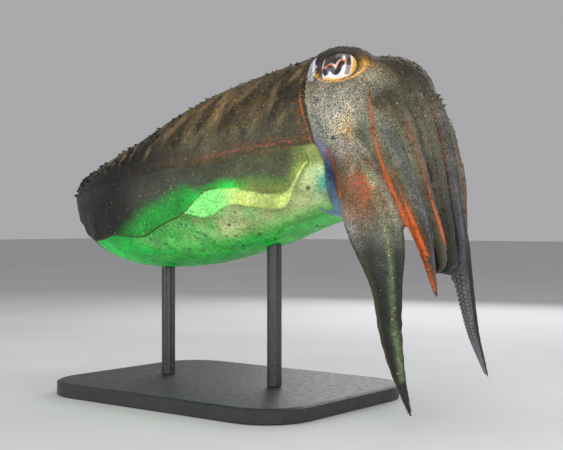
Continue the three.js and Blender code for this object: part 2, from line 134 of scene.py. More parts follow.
# Coloured lines on the animal's right side, mirrored to its left: the mark, half its width where it starts
# and where it ends, and places on it
STROKES = {
    "third arm": (
        "line",
        (0.26, 1),
        [
            (86.4, -23, 123.7), (87.4, -22.6, 114.8), (89.8, -25, 106), (92.6, -25.2, 97),
            (95.5, -24.5, 89), (98.8, -22.5, 80), (102.3, -19.5, 69), (106.2, -17.5, 58),
            (108.8, -15.5, 49.3),
        ],
    ),
    "third arm, inner": (
        "line",
        (0.2, 0.6),
        [
            (98.1, -25, 91.2), (100.8, -24.2, 84.2), (103.3, -22.9, 77.2), (105.8, -20.4, 68.5),
            (108, -18, 61.6),
        ],
    ),
    "second arm": (
        "rust",
        (0.9, 0.9),
        [
            (98.8, -17.6, 109.1), (102.4, -16.1, 100.2), (105.1, -15.1, 91.3), (108, -13.9, 79),
            (109.8, -12.1, 72),
        ],
    ),
    "second arm, lower": (
        "line",
        (0.1, 0.5),
        [
            (103.8, -15.6, 95.7), (106.5, -14.5, 85.1), (108, -13.9, 79), (109.8, -12.1, 72),
            (110.8, -9.6, 65),
        ],
    ),
    "first arm": ("rust", (0.2, 0.3), [(98.3, -2.3, 116.2), (102.1, -1.5, 104.9), (105.2, -1.1, 92)]),
    "base edge": (
        "line",
        (0.4, 0.5),
        [
            (71.3, -25.6, 99.2), (72.2, -23.8, 94.9), (74, -24.6, 91.2), (74.4, -23.8, 86.9),
            (76.3, -25.4, 82.1),
        ],
    ),
    "fourth arm, outer": (
        "grey",
        (1, 1.6),
        [
            (90, -25, 91), (94, -24.4, 84.3), (97.1, -24.2, 79), (99.5, -24, 72),
        ],
    ),
    "vee": ("grey", (0.9, 0.7), [(77.2, -23.5, 99.8), (83.8, -25, 97), (81.2, -26.2, 89.9)]),
    "vee, upper": ("grey", (0.6, 1), [(86, -26, 95), (91.1, -26.4, 86)]),
    "fourth arm": (
        "beads",
        (1.2, 0.8),
        [
            (88, -26, 93), (92.2, -26.8, 84.3), (95.4, -27.2, 75.5), (97.8, -27.2, 66.8),
            (99.1, -27.3, 58.2), (99.6, -27.4, 49.5), (100.2, -27.2, 39.2), (101.3, -26.3, 28.8),
            (102.8, -26, 18.6),
        ],
    ),
}

# Small dark spots: place and half width
SPOTS = [
    ((74.3, -26.9, 103.4), 1.0),
    ((68.6, -28.8, 117.3), 0.8),
    ((77.6, -27.3, 113.9), 0.7),
    ((64.1, -28.3, 85.5), 0.9),
    ((25.4, -27.6, 72.0), 0.8),
    ((23.9, -21.8, 67.7), 0.6),
    ((32.7, -17.6, 68.5), 0.7),
    ((33.0, -8.4, 66.4), 0.6),
    ((20.6, -13.5, 63.6), 0.5),
    ((48.9, -2.0, 71.6), 0.7),
]


# Number and curve helpers
def lerp(a, b, t):
    return a + (b - a) * t


def rise(a, b, x):
    t = np.clip((np.asarray(x, float) - a) / (b - a), 0, 1)
    return t * t * (3 - 2 * t)


def bump(x, middle, spread):
    return np.exp(-(((np.asarray(x, float) - middle) / spread) ** 2))


def through(keys, t):
    """A smooth curve of numbers through evenly spaced keys, read at t from 0 to 1."""
    keys = np.asarray(keys, float)
    last = len(keys) - 1
    x = np.clip(t, 0, 1) * last
    i = np.minimum(np.floor(x).astype(int), last - 1)
    f = x - i
    a, b, c, d = (keys[np.clip(i + k, 0, last)] for k in (-1, 0, 1, 2))
    return b + 0.5 * f * (c - a + f * (2 * a - 5 * b + 4 * c - d + f * (3 * (b - c) + d - a)))


def unit(v):
    return v / np.linalg.norm(v, axis=-1, keepdims=True)


def from_mantle(x, y, z):
    x, y, z = (np.asarray(v, float)[..., None] for v in (x, y, z))
    return MANTLE_FRONT + FORWARD * x + UP * z + SIDEWAYS * y


def signed_power(x, power):
    return np.sign(x) * np.abs(x) ** power


# The mantle's form
def rounded(t):
    return np.sqrt(np.clip(1 - t**5, 0, 1))


def half_width(t):
    return through([33.5, 36, 38.5, 39, 38, 34.5, 28, 18], t) * rounded(t)


def back_height(t):
    return through([38.2, 35.4, 32.7, 28, 20.6, 15.5, 13, 11], t) * rounded(t)


def belly_depth(t):
    return through([24.7, 29.1, 33.6, 36.9, 39.1, 40, 38.6, 36], t) * rounded(t)


def fin_line(t):
    return through([-5, -2, 0, 2, 5, 7, 8], t)


def margin_of(angle):
    up = np.sin(angle)
    side = np.abs(np.cos(angle))
    lobes = np.where(up > 0, 5 * np.clip(up, 0, 1) ** 6, -9 * up**4)
    return 3.5 * side + lobes - 3 * bump(up, 0.5, 0.3) + LIP * bump(up, -0.3, 0.25)


def mantle_point(t, angle, inset=0.0):
    t = np.asarray(t, float)
    c, s = np.cos(angle), np.sin(angle)
    y = signed_power(c, SQUARENESS) * (half_width(t) - inset)
    height = np.where(s > 0, back_height(t), belly_depth(t)) - inset
    z = fin_line(t) + signed_power(s, SQUARENESS) * height
    x = MARGIN_PLACE - t * MANTLE_LENGTH + margin_of(angle) * (1 - rise(0, MARGIN_FADE, t))
    return from_mantle(x, y, z)


# Meshes out of rings of points
class Mesh:
    """Points in millimetres and their faces, gathered before they become one Blender mesh."""

    def __init__(self):
        self.points = []
        self.faces = []
        self.count = 0

    def add(self, points, faces):
        self.points.append(np.asarray(points, float))
        self.faces += [tuple(i + self.count for i in face) for face in faces]
        self.count += len(points)

    def loft(self, rings):
        """A skin over rings of equally many points, with a fan on each end."""
        rings = np.asarray(rings, float)
        rows, sides = rings.shape[:2]
        points = rings.reshape(-1, 3)
        faces = []
        for j in range(rows - 1):
            for i in range(sides):
                a = j * sides + i
                b = j * sides + (i + 1) % sides
                faces.append((a, b, b + sides, a + sides))
        for row, flip in ((0, True), (rows - 1, False)):
            centre = len(points)
            points = np.vstack([points, rings[row].mean(0)])
            for i in range(sides):
                a = row * sides + i
                b = row * sides + (i + 1) % sides
                faces.append((b, a, centre) if flip else (a, b, centre))
        if volume_of(points, faces) < 0:
            faces = [tuple(reversed(face)) for face in faces]
        self.add(points, faces)

    def build(self, name, material=None):
        points = np.vstack(self.points) * MM
        data = bpy.data.meshes.new(name)
        data.from_pydata(points.tolist(), [], self.faces)
        data.shade_smooth()
        made = bpy.data.objects.new(name, data)
        bpy.context.scene.collection.objects.link(made)
        if material:
            data.materials.append(material)
        return made


def volume_of(points, faces):
    def part(faces, b, c):
        corners = np.array(faces)
        first, second, third = (points[corners[:, k]] for k in (0, b, c))
        return np.einsum("ij,ij->i", first, np.cross(second, third)).sum()

    total = part([face[:3] for face in faces], 1, 2)
    fours = [face for face in faces if len(face) == 4]
    if fours:
        total += part(fours, 2, 3)
    return total


def circle(sides):
    return -2 * np.pi * np.arange(sides) / sides


# Forms of the body
def mantle_rings():
    sides, steps = 180, 130
    angle = circle(sides)
    rings = []
    for depth, inset in ((0, WALL + 1.5), (0.5, WALL), (0.94, WALL * 0.72)):
        inner = mantle_point(0, angle, inset)
        rings.append(inner - FORWARD * OPENING_DEPTH * (1 - depth))
    rings.append(mantle_point(0, angle, WALL * 0.3) + FORWARD * 0.3)
    for j in range(steps + 1):
        t = 0.992 * math.sin(math.pi / 2 * j / steps) ** 1.15
        rings.append(mantle_point(t, angle, SKIN_INSET))
    return rings


def head_ring(u, ahead, size, sides=96, grow=-SKIN_INSET):
    pitch = lerp(MANTLE_PITCH, CROWN_PITCH, u) - math.radians(1.5 * ahead)
    forward = np.array([math.cos(pitch), 0, math.sin(pitch)])
    up = np.array([-math.sin(pitch), 0, math.cos(pitch)])
    neck = from_mantle(OPENING_FLOOR - 4, 0, 6)
    centre = lerp(neck, CROWN, u) + forward * ahead
    wide = size * through([27, 29, 30, 29, 26.5], u) + grow
    crest = size * through([20, 24, 27, 27, 26], u) + grow
    chin = size * through([19, 21, 22.5, 23, 21.5], u) + grow
    a = circle(sides)
    y = signed_power(np.cos(a), 0.92) * wide
    z = signed_power(np.sin(a), 0.92) * np.where(np.sin(a) > 0, crest, chin)
    return centre + up * z[:, None] + SIDEWAYS * y[:, None]


def head_rings():
    rings = [head_ring(u, 0, 1) for u in np.linspace(0, 1, 30)]
    for ahead, size in ((2, 0.97), (4, 0.92), (6, 0.84), (8, 0.74), (9, 0.6)):
        rings.append(head_ring(1, ahead, size))
    return rings


def mirrored(point, side):
    return point * np.array([1, -side, 1])


def ball_rings(centre, radius, stretch=(1, 1, 1), tilt=0.0, rows=40, sides=64):
    """Rings of a stretched ball, its long axis tilted so that its front end is lower."""
    rings = []
    c, s = math.cos(tilt), math.sin(tilt)
    for j in range(1, rows):
        polar = math.pi * j / rows
        a = circle(sides)
        wide = np.sin(polar)
        ring = np.stack([wide * np.cos(a), wide * np.sin(a), np.full(sides, np.cos(polar))], 1)
        ring = ring * radius * np.array(stretch)
        ring = ring @ np.array([[c, 0, s], [0, 1, 0], [-s, 0, c]]).T
        rings.append(ring + centre)
    return rings


def bulge_rings(side):
    centre = mirrored(EYE_CENTRE + np.array([-1, 0.5, -0.5]), side)
    return ball_rings(centre, EYE_RADIUS + LID - SKIN_INSET, (1.35, 1, 1), math.radians(8))


def arm_point(arm, side, s):
    s = np.asarray(s, float)
    point = np.stack([through(arm["x"], s), side * through(arm["y"], s), through(arm["z"], s)], -1)
    if side > 0:
        point = point + np.array(arm["left"]) * rise(0.1, 1, s)[..., None]
    return point


def arm_frame(arm, side, s):
    s = np.asarray(s, float)
    h = 0.01
    tangent = unit(arm_point(arm, side, np.minimum(1, s + h)) - arm_point(arm, side, np.maximum(0, s - h)))
    back = unit(np.cross(tangent, SIDEWAYS))
    angle = np.radians(through(arm["face"], s))[..., None]
    outward = back * np.cos(angle) + side * SIDEWAYS * np.sin(angle)
    outward = unit(outward - tangent * (outward * tangent).sum(-1, keepdims=True))
    return arm_point(arm, side, s), tangent, outward, np.cross(tangent, outward)


def arm_rings(arm, side, steps=170, sides=44):
    s = np.linspace(0, 1, steps)
    centre, _, outward, across = arm_frame(arm, side, s)
    breadth = through(arm["breadth"], s) / 2 - SKIN_INSET
    thickness = through(arm["thickness"], s) / 2 - SKIN_INSET
    a = -circle(sides)
    crimped = 1 + 0.03 * np.sin(s * 90) * rise(0.45, 0.7, s)
    x = np.cos(a)[None] * (breadth * crimped)[:, None]
    y = np.sin(a)[None] * thickness[:, None] * np.where(np.sin(a) > 0, 1, INNER_FLATNESS)[None]
    return centre[:, None] + across[:, None] * x[..., None] + outward[:, None] * y[..., None]


def web_rings(number, side, reaches, steps=60):
    """The thin web between an arm and its next one up, from their bases to a place on each."""
    rings = []
    for k in np.linspace(0.05, 1, steps):
        edges = []
        for which, toward in ((0, -1), (1, 1)):
            arm = ARMS[number - which]
            s = k * reaches[which]
            centre, tangent, outward, across = arm_frame(arm, side, s)
            edges.append(centre - side * toward * across * 0.7 * through(arm["breadth"], s) / 2)
        a, b = edges
        outward = unit(np.cross(tangent, b - a))
        half = lerp(1.6, 0.9, k)
        line = lerp(a, b, np.linspace(0, 1, 12)[:, None])
        rings.append(np.vstack([line + outward * half, line[::-1] - outward * half]))
    return rings


# The fins: thin waved blades along the mantle's sides
def fin_shape(t):
    u = (t - FIN_START) / (FIN_END - FIN_START)
    width = through(FIN_WIDTHS, u) * (0.35 + 0.65 * rise(0, 0.06, u))
    droop = through(FIN_DROOPS, u)
    return width, np.radians(droop)


def fin_frame(side, t):
    """The root point, and the direction straight out of the side, at places t along the mantle."""
    angle = np.full_like(t, 0.0 if side > 0 else math.pi)
    root = mantle_point(t, angle)
    back = unit(mantle_point(t + 0.008, angle) - mantle_point(t - 0.008, angle))
    out = unit(side * SIDEWAYS - back * (back[:, 1:2] * side))
    return root, out


def fin_rings(side, steps=300, across=28):
    t = np.linspace(FIN_START, FIN_END, steps)
    root, out = fin_frame(side, t)
    width, droop = fin_shape(t)
    middle = root - out * FIN_ROOT_DEPTH
    upper, lower = [], []
    for i in range(across + 1):
        w = i / across
        bend = droop * rise(-0.5, 0.7, w + 0.11)
        reach = out * np.cos(bend)[:, None] - UP * np.sin(bend)[:, None]
        normal = out * np.sin(bend)[:, None] + UP * np.cos(bend)[:, None]
        if i:
            middle = middle + reach * ((width + FIN_ROOT_DEPTH) / across)[:, None]
        half = lerp(FIN_ROOT_THICKNESS, FIN_EDGE_THICKNESS, w) / 2
        if i == across:
            half *= 0.45
        ripple = normal * (0.35 * w * w * np.sin(t * 61 + 1.3 * w))[:, None]
        upper.append(middle + normal * half + ripple)
        lower.append(middle - normal * half + ripple)
    return np.stack(upper + lower[::-1], 1)


# The skin: every flesh part run together, then cut round the eyes and given its small forms
def smooth(points, edges, weight, rounds):
    """Draws each point towards the middle of its neighbours, as far as its weight says."""
    a, b = edges[:, 0], edges[:, 1]
    count = np.bincount(np.concatenate([a, b]), minlength=len(points))[:, None]
    for _ in range(rounds):
        total = np.zeros_like(points)
        for axis in range(3):
            for here, there in ((a, b), (b, a)):
                total[:, axis] += np.bincount(here, points[there, axis], len(points))
        points = lerp(points, total / np.maximum(count, 1), weight[:, None])
    return points


def mesh_points(obj):
    flat = np.empty(len(obj.data.vertices) * 3)
    obj.data.vertices.foreach_get("co", flat)
    return flat.reshape(-1, 3) / MM


def mesh_edges(obj):
    flat = np.empty(len(obj.data.edges) * 2, np.int32)
    obj.data.edges.foreach_get("vertices", flat)
    return flat.reshape(-1, 2)


def remeshed(obj, voxel):
    modifier = obj.modifiers.new("voxels", "REMESH")
    modifier.mode = "VOXEL"
    modifier.voxel_size = voxel * MM
    graph = bpy.context.evaluated_depsgraph_get()
    data = bpy.data.meshes.new_from_object(obj.evaluated_get(graph))
    obj.modifiers.clear()
    obj.data = data
    return obj


def eye_frame(side):
    """The eye's centre, and its directions forward along the slot, out and up."""
    centre = mirrored(EYE_CENTRE, side)
    look = unit(mirrored(EYE_LOOK, side))
    along = unit(np.cross(look, [0, 0, 1])) * side
    up = unit(np.cross(along, look)) * side
    return centre, along, look, up


class Places:
    """Where each point of the skin lies on the parts that it covers."""

    def __init__(self, points, arms=True):
        self.points = points
        self.find_mantle()
        if arms:
            self.find_arms()
        self.find_eyes()

    def find_mantle(self):
        local = self.points - MANTLE_FRONT
        x, z = local @ FORWARD, local @ UP
        y = local[:, 1]
        angle = np.arctan2(z, np.abs(y))
        for _ in range(3):
            lip = margin_of(angle)
            t = (MARGIN_PLACE + lip - x) / MANTLE_LENGTH
            near_margin = (MARGIN_PLACE + lip * (1 - rise(0, MARGIN_FADE, t)) - x) / MANTLE_LENGTH
            t = np.where(t < MARGIN_FADE, near_margin, (MARGIN_PLACE - x) / MANTLE_LENGTH)
            inside = np.clip(t, 0, 0.995)
            height = np.where(z > fin_line(inside), back_height(inside), belly_depth(inside))
            up = (z - fin_line(inside)) / np.maximum(height, 1)
            across = np.abs(y) / np.maximum(half_width(inside), 1)
            up_round, across_round = signed_power(up, 1 / SQUARENESS), across ** (1 / SQUARENESS)
            angle = np.arctan2(up_round, across_round)
        self.t, self.up = t, up
        shell = np.hypot(up_round, across_round)
        self.from_margin = t * MANTLE_LENGTH
        self.on_mantle = (self.points[:, 0] < 0) | ((self.from_margin > -0.6) & (shell > 0.93))
        slanted = np.column_stack([x - 0.55 * z, 0.28 * y, 0.28 * z])
        self.streak = patches(slanted, 5.5, SEED + 1) + 0.6 * patches(slanted, 2.6, SEED + 2)

    def find_arms(self):
        n = len(self.points)
        self.arm = np.zeros(n, int)
        self.s = np.zeros(n)
        self.e = np.zeros(n)
        self.out = np.zeros(n)
        self.arm_distance = np.full(n, 1e9)
        near = np.nonzero(self.points[:, 0] > 66)[0]
        s = np.linspace(0, 1, 150)
        for number, arm in ARMS.items():
            for side in SIDES.values():
                centre, tangent, outward, across = arm_frame(arm, side, s)
                breadth = through(arm["breadth"], s) / 2
                thickness = through(arm["thickness"], s) / 2
                best = np.full(len(near), 1e9)
                found = np.zeros((3, len(near)))
                for k in range(len(s)):
                    delta = self.points[near] - centre[k]
                    along = delta @ tangent[k]
                    e = delta @ across[k] / breadth[k]
                    o = delta @ outward[k] / thickness[k]
                    o = np.where(o < 0, o / INNER_FLATNESS, o)
                    distance = np.hypot(np.hypot(e, o), along / 3)
                    closer = distance < best
                    best = np.where(closer, distance, best)
                    found = np.where(closer, np.stack([np.full_like(e, s[k]), e, o]), found)
                closer = best < self.arm_distance[near]
                at = near[closer]
                self.arm_distance[at] = best[closer]
                self.arm[at] = number
                self.s[at] = found[0][closer]
                self.e[at] = -side * found[1][closer]
                self.out[at] = found[2][closer]

    def find_eyes(self):
        self.eye_a = np.full(len(self.points), 99.0)
        self.eye_b = np.full(len(self.points), 99.0)
        self.eye_side = np.zeros(len(self.points), int)
        for side in SIDES.values():
            centre, along, look, up = eye_frame(side)
            delta = self.points - centre
            near = (delta @ look > 0) & (np.linalg.norm(delta, axis=1) < 22)
            self.eye_a[near] = (delta @ along)[near]
            self.eye_b[near] = (delta @ up)[near]
            self.eye_side[near] = side


def open_eyes(points, places):
    """Sinks the skin under the eyeball inside the lids' slot."""
    for side in SIDES.values():
        centre = mirrored(EYE_CENTRE, side)
        here = places.eye_side == side
        delta = points[here] - centre
        distance = np.linalg.norm(delta, axis=1)
        half_length, half_height = EYE_OPENING[0] / 2, EYE_OPENING[1] / 2
        a = (places.eye_a[here] + 0.9) / (half_length - 0.9)
        b = places.eye_b[here] / half_height
        droop = np.where(b > 0, 1 + 0.16 * bump(a, -0.05, 0.5), 1)
        ring = (np.abs(a) ** EYE_SLOT_POWER + np.abs(b * droop) ** EYE_SLOT_POWER) ** (1 / EYE_SLOT_POWER)
        sunk = EYE_RADIUS - 1.2
        want = lerp(sunk, distance, rise(0.93, 1.06, ring))
        want = np.where(ring < 1.2, np.minimum(want, distance), distance)
        points[here] = centre + delta / distance[:, None] * want[:, None]
    return points


def papilla(mesh, foot, outward, lean, height, radius, rng):
    """A soft pointed wart that stands on the skin, its root sunk."""
    rings = []
    sides = 9
    axis = unit(outward + lean)
    left = unit(np.cross(axis, [0.3, 0.2, 1.0]))
    other = np.cross(axis, left)
    for level, size in ((-0.9, 1.15), (0, 1), (0.3, 0.74), (0.6, 0.42), (0.85, 0.24), (1, 0.1)):
        bend = lean * max(level, 0) ** 2 * height * 0.7
        a = circle(sides)
        ring = left * np.cos(a)[:, None] + other * np.sin(a)[:, None]
        middle = foot + axis * (level * height if level > 0 else level * radius) + bend
        rings.append(middle + ring * size * radius * rng.uniform(0.9, 1.1, sides)[:, None])
    mesh.loft(rings)


def back_papillae(mesh, rng):
    """Small warts over the back, a few long ones along its middle, and tufts on the arms' bases."""
    for _ in range(BACK_WARTS):
        t = rng.uniform(0.03, 0.96)
        angle = math.radians(rng.uniform(14, 166))
        foot = mantle_point(t, np.array(angle), 0.2)
        outward = unit(foot - from_mantle(MARGIN_PLACE - t * MANTLE_LENGTH, 0, fin_line(t)))
        size = rng.uniform(0.3, 0.75) * (1.3 if t > 0.5 else 1)
        papilla(mesh, foot, outward, -0.5 * FORWARD * rng.uniform(0, 1), size * 1.5, size, rng)
    for t, degrees, height in LONG_WARTS:
        foot = mantle_point(t, np.array(math.radians(degrees)), 0.4)
        outward = unit(foot - from_mantle(MARGIN_PLACE - t * MANTLE_LENGTH, 0, fin_line(t)))
        papilla(mesh, foot, outward, -0.35 * FORWARD, height, 0.9, rng)
    for _ in range(ARM_WARTS):
        number = int(rng.choice([1, 1, 1, 2, 2, 3]))
        side = int(rng.choice([-1, 1]))
        s = np.array(rng.uniform(0.06, 0.62) ** 1.2)
        arm = ARMS[number]
        centre, tangent, outward, across = arm_frame(arm, side, s)
        e = rng.uniform(-0.6, 0.6)
        surface = centre + across * e * through(arm["breadth"], s) / 2
        surface = surface + outward * math.sqrt(1 - e * e) * (through(arm["thickness"], s) / 2 - 0.4)
        size = rng.uniform(0.25, 0.6) * (1.3 if s < 0.2 else 0.9)
        papilla(mesh, surface, outward, tangent * rng.uniform(-0.2, 0.5), size * 1.6, size, rng)
    for x in np.linspace(78, 88, CROWN_WARTS):
        top = np.array([x, rng.uniform(-7, 7), 135.2 - 0.16 * (x - 80) - 0.03 * (x - 80) ** 2])
        lean = SIDEWAYS * rng.uniform(-0.5, 0.5)
        papilla(mesh, top, np.array([0.2, 0, 1.0]), lean, rng.uniform(0.8, 1.5), 0.45, rng)


def skin_form():
    """The body, head and arms run together: (points, faces) in millimetres."""
    body = Mesh()
    body.loft(mantle_rings())
    body.loft(head_rings())
    for side in SIDES.values():
        body.loft(bulge_rings(side))
        for arm in ARMS.values():
            body.loft(arm_rings(arm, side))
        for number, reaches in WEBS.items():
            body.loft(web_rings(number, side, reaches))
    made = remeshed(body.build("body"), VOXEL)
    points = mesh_points(made)
    edges = mesh_edges(made)
    corners = np.empty(len(made.data.loops), np.int32)
    made.data.polygons.foreach_get("vertices", corners)
    bpy.data.objects.remove(made)

    places = Places(points)
    joined = (points[:, 0] > 60) & ~places.on_mantle
    free = np.where(places.arm_distance < 1.6, rise(0.12, 0.34, places.s), 0.0)
    points = smooth(points, edges, np.full(len(points), 0.4), 4)
    points = smooth(points, edges, np.where(joined, 0.6 * (1 - free), 0.0), 26)
    points = open_eyes(points, Places(points, arms=False))
    round_eye = np.abs(places.eye_a) < 14
    points = smooth(points, edges, np.where(round_eye, 0.35, 0.0), 2)
    return points, corners.reshape(-1, 4)


# Colours of the surface. The rear's near-black is the photograph's fade into the dark.
def srgb(red, green, blue):
    value = np.array([red, green, blue]) / 255
    return np.where(value <= 0.04045, value / 12.92, ((value + 0.055) / 1.055) ** 2.4)


PALETTE = {
    "back": (96, 85, 58),
    "back_front": (42, 37, 26),
    # painted shade: the near-black that the back and sides fade into toward the rear; also the colour of the
    # dark streaks
    "rear_shade_and_dark_streak": (8, 5, 2),
    "streak_pale": (122, 112, 88),
    "side": (86, 86, 68),
    "fin_root": (96, 74, 40),
    "fin_front": (78, 82, 56),
    "fin_middle": (64, 70, 56),
    # painted shade: the near-black that the fins and the belly fade into at the rear
    "fin_rear_shade": (11, 13, 9),
    "fin_green": (16, 140, 40),
    "fin_bright": (40, 220, 70),
    "fin_yellow": (124, 138, 66),
    "belly_pale": (222, 240, 168),
    "belly_front": (140, 156, 74),
    "belly_middle": (136, 240, 126),
    "belly_green": (3, 235, 80),
    "teal": (56, 180, 165),
    "collar": (150, 152, 180),
    "collar_blue": (130, 168, 205),
    "head_side": (146, 148, 130),
    "head_pale": (214, 212, 196),
    "lobe": (186, 206, 112),
    "head_low": (112, 116, 102),
    "head_gold": (224, 184, 112),
    "head_top": (52, 43, 24),
    "brow": (46, 42, 30),
    "arm_base": (130, 104, 80),
    "arm_grey": (128, 130, 108),
    "arm_slate": (56, 62, 56),
    "arm_low": (19, 21, 18),
    "arm_green": (150, 176, 120),
    "arm_pale": (150, 148, 146),
    "arm_mark": (164, 172, 150),
    "arm_rust": (134, 78, 42),
    # painted highlight: a pale band along one edge of the arms
    "arm_edge_highlight": (92, 94, 102),
    "arm_olive": (92, 86, 56),
    # painted shade: darkens the first arm and the edges where the arms meet
    "arm_shade": (44, 41, 32),
    "inner": (116, 118, 124),
    "silver": (236, 242, 252),
    "ink": (36, 40, 44),
    "purple": (30, 20, 34),
    "gold": (240, 178, 74),
}
COLOURS = {name: srgb(*value) for name, value in PALETTE.items()}


def tint(tone, name, amount):
    return lerp(tone, COLOURS[name], np.clip(amount, 0, 1)[:, None])


def plain_tone(name, count):
    return np.tile(COLOURS[name], (count, 1))


def no_marks(count):
    return {name: np.zeros(count) for name in ("dark", "pale", "warm", "line", "fleck", "rim", "grit")}


def mantle_look(places, patchy):
    t, up = places.t, places.up
    tone = plain_tone("back", len(t))
    tone = tint(tone, "back_front", rise(0.3, 0, t))
    tone = tint(tone, "side", 0.75 * bump(up, 0.22, 0.22) * rise(0.85, 0.5, t))
    # painted shade: the back fades to near-black toward the rear
    tone = tint(tone, "rear_shade_and_dark_streak", rise(0.22, 0.56, t))
    tone = tint(tone, "fin_root", 0.7 * bump(up, 0.04 + 0.05 * patchy, 0.06) * rise(0.7, 0.35, t))
    streak = places.streak * bump(up, 0.5, 0.45)
    # the pale streaks thin out toward the rear, under the painted shade there
    tone = tint(tone, "streak_pale", 0.55 * rise(0.2, 1.1, streak) * rise(0.9, 0.6, t))
    tone = tint(tone, "rear_shade_and_dark_streak", 0.6 * rise(-0.2, -1.1, streak))
    belly = rise(-0.02, -0.1, up)
    below = plain_tone("belly_pale", len(t))
    below = tint(below, "belly_middle", rise(0.18, 0.4, t + 0.1 * patchy))
    green = np.maximum(rise(0.42, 0.66, t + 0.08 * patchy), 0.9 * rise(-0.75, -1.0, up))
    below = tint(below, "belly_green", green)
    below = tint(below, "belly_front", 0.8 * rise(0.24, 0.08, t) * rise(-0.5, -0.25, up))
    below = tint(below, "teal", 0.9 * rise(0.06, 0.0, t + 0.01 * patchy) * bump(up, -0.6, 0.17))
    # painted shade: the belly's rear end fades to near-black
    below = tint(below, "fin_rear_shade", rise(0.8, 0.87, t + 0.02 * patchy))
    # painted shade: the low sides darken further toward the rear
    tone = tint(tone, "rear_shade_and_dark_streak", 0.6 * rise(0.4, 0.1, up) * rise(0.25, 0.5, t))
    tone = lerp(tone, below, belly[:, None])
    marks = no_marks(len(t))
    marks["dark"] = lerp(0.62 + 0.2 * rise(0.5, 0.9, t), 0.0, belly)
    # the pale speckles, flecks and brown grit thin out toward the rear, under the painted shade there
    speckled = (0.25 + 0.25 * bump(up, 0.55, 0.3)) * rise(0.75, 0.35, t)
    marks["pale"] = lerp(speckled, 0.55 * rise(0.5, 0.1, t), belly)
    dashes = bump(up, 0.03, 0.03) * rise(0.0, 0.06, t) * rise(0.35, 0.25, t)
    margin = bump(places.from_margin, 2.5, 2 + 2.5 * rise(0.4, 0.1, up))
    marks["warm"] = np.maximum(0.6 * dashes, 0.4 * margin * rise(0.75, 0.2, up) * (1 - 0.8 * belly))
    thin = bump(places.from_margin, 0.7, 0.32) * rise(-0.35, -0.1, up) * rise(0.98, 0.8, up)
    marks["line"] = thin * (0.55 + 0.45 * rise(0.6, 0.3, up)) * (0.9 + 0.3 * patchy)
    marks["fleck"] = belly * rise(0.1, 0.3, t) * rise(0.82, 0.76, t) * 0.8
    marks["grit"] = (1 - belly) * rise(0.05, 0.4, up) * (0.35 + 0.65 * rise(0.8, 0.4, t))
    return tone, marks


def head_look(places, patchy):
    points = places.points
    x, z = points[:, 0], points[:, 2]
    side = np.abs(points[:, 1])
    tone = plain_tone("head_side", len(x))
    tone = tint(tone, "head_pale", bump(x, 79, 8) * bump(z, 105, 13))
    tone = tint(tone, "head_low", rise(100, 88, z))
    tone = tint(tone, "head_gold", 0.9 * bump(x, 81, 5) * bump(z, 108 + 3 * patchy, 6))
    tone = tint(tone, "head_top", rise(122, 131, z + 2 * patchy))
    tone = tint(tone, "head_top", 0.9 * rise(19, 10, side))
    deep = rise(-2.5, 1, places.from_margin)
    tone = tint(tone, "collar", deep * rise(110, 100, z))
    tone = tint(tone, "collar_blue", deep * rise(97, 92, z))
    tone = tint(tone, "brow", 0.85 * deep * rise(81, 77, z))
    around = np.hypot(places.eye_a / 14, places.eye_b / 8.2)
    near = rise(1.2, 0.9, around)
    tone = tint(tone, "brow", near * rise(1, 5, places.eye_b))
    tone = tint(tone, "brow", 0.5 * near * rise(-7, -11, places.eye_a))
    crescent = rise(1.02, 0.94, around) * rise(-4.6, -3.4, places.eye_b)
    tone = tint(tone, "silver", crescent * rise(-9.7, -10.1, places.eye_a) * (0.8 + 0.4 * patchy))
    tone = tint(tone, "purple", crescent * bump(places.eye_a, -8.9, 0.8) * 1.6)
    corner = bump(places.eye_a, 10, 1.6) * bump(places.eye_b, 0.8, 1.8)
    tone = tint(tone, "gold", 0.55 * corner + 0.1 * near * rise(5, 9, places.eye_a))
    rim = bump(np.hypot(places.eye_a / 10.0, places.eye_b / 5.7), 1, 0.05)
    tone = tint(tone, "gold", rim * rise(0, -2.5, places.eye_b) * 1.2)
    marks = no_marks(len(x))
    marks["dark"] = 0.95 - 0.5 * rise(96, 84, z)
    marks["dark"] = marks["dark"] * (1 - 0.9 * deep) * (1 - rim)
    marks["pale"] = (0.15 + 0.3 * rise(120, 132, z)) * (1 - near)
    marks["grit"] = rise(118, 128, z + 2 * patchy) * (1 - near)
    marks["warm"] = 0.6 * bump(x, 80, 7) * bump(z, 99, 6) + 0.35 * near * rise(0, -6, places.eye_b)
    return tone, marks


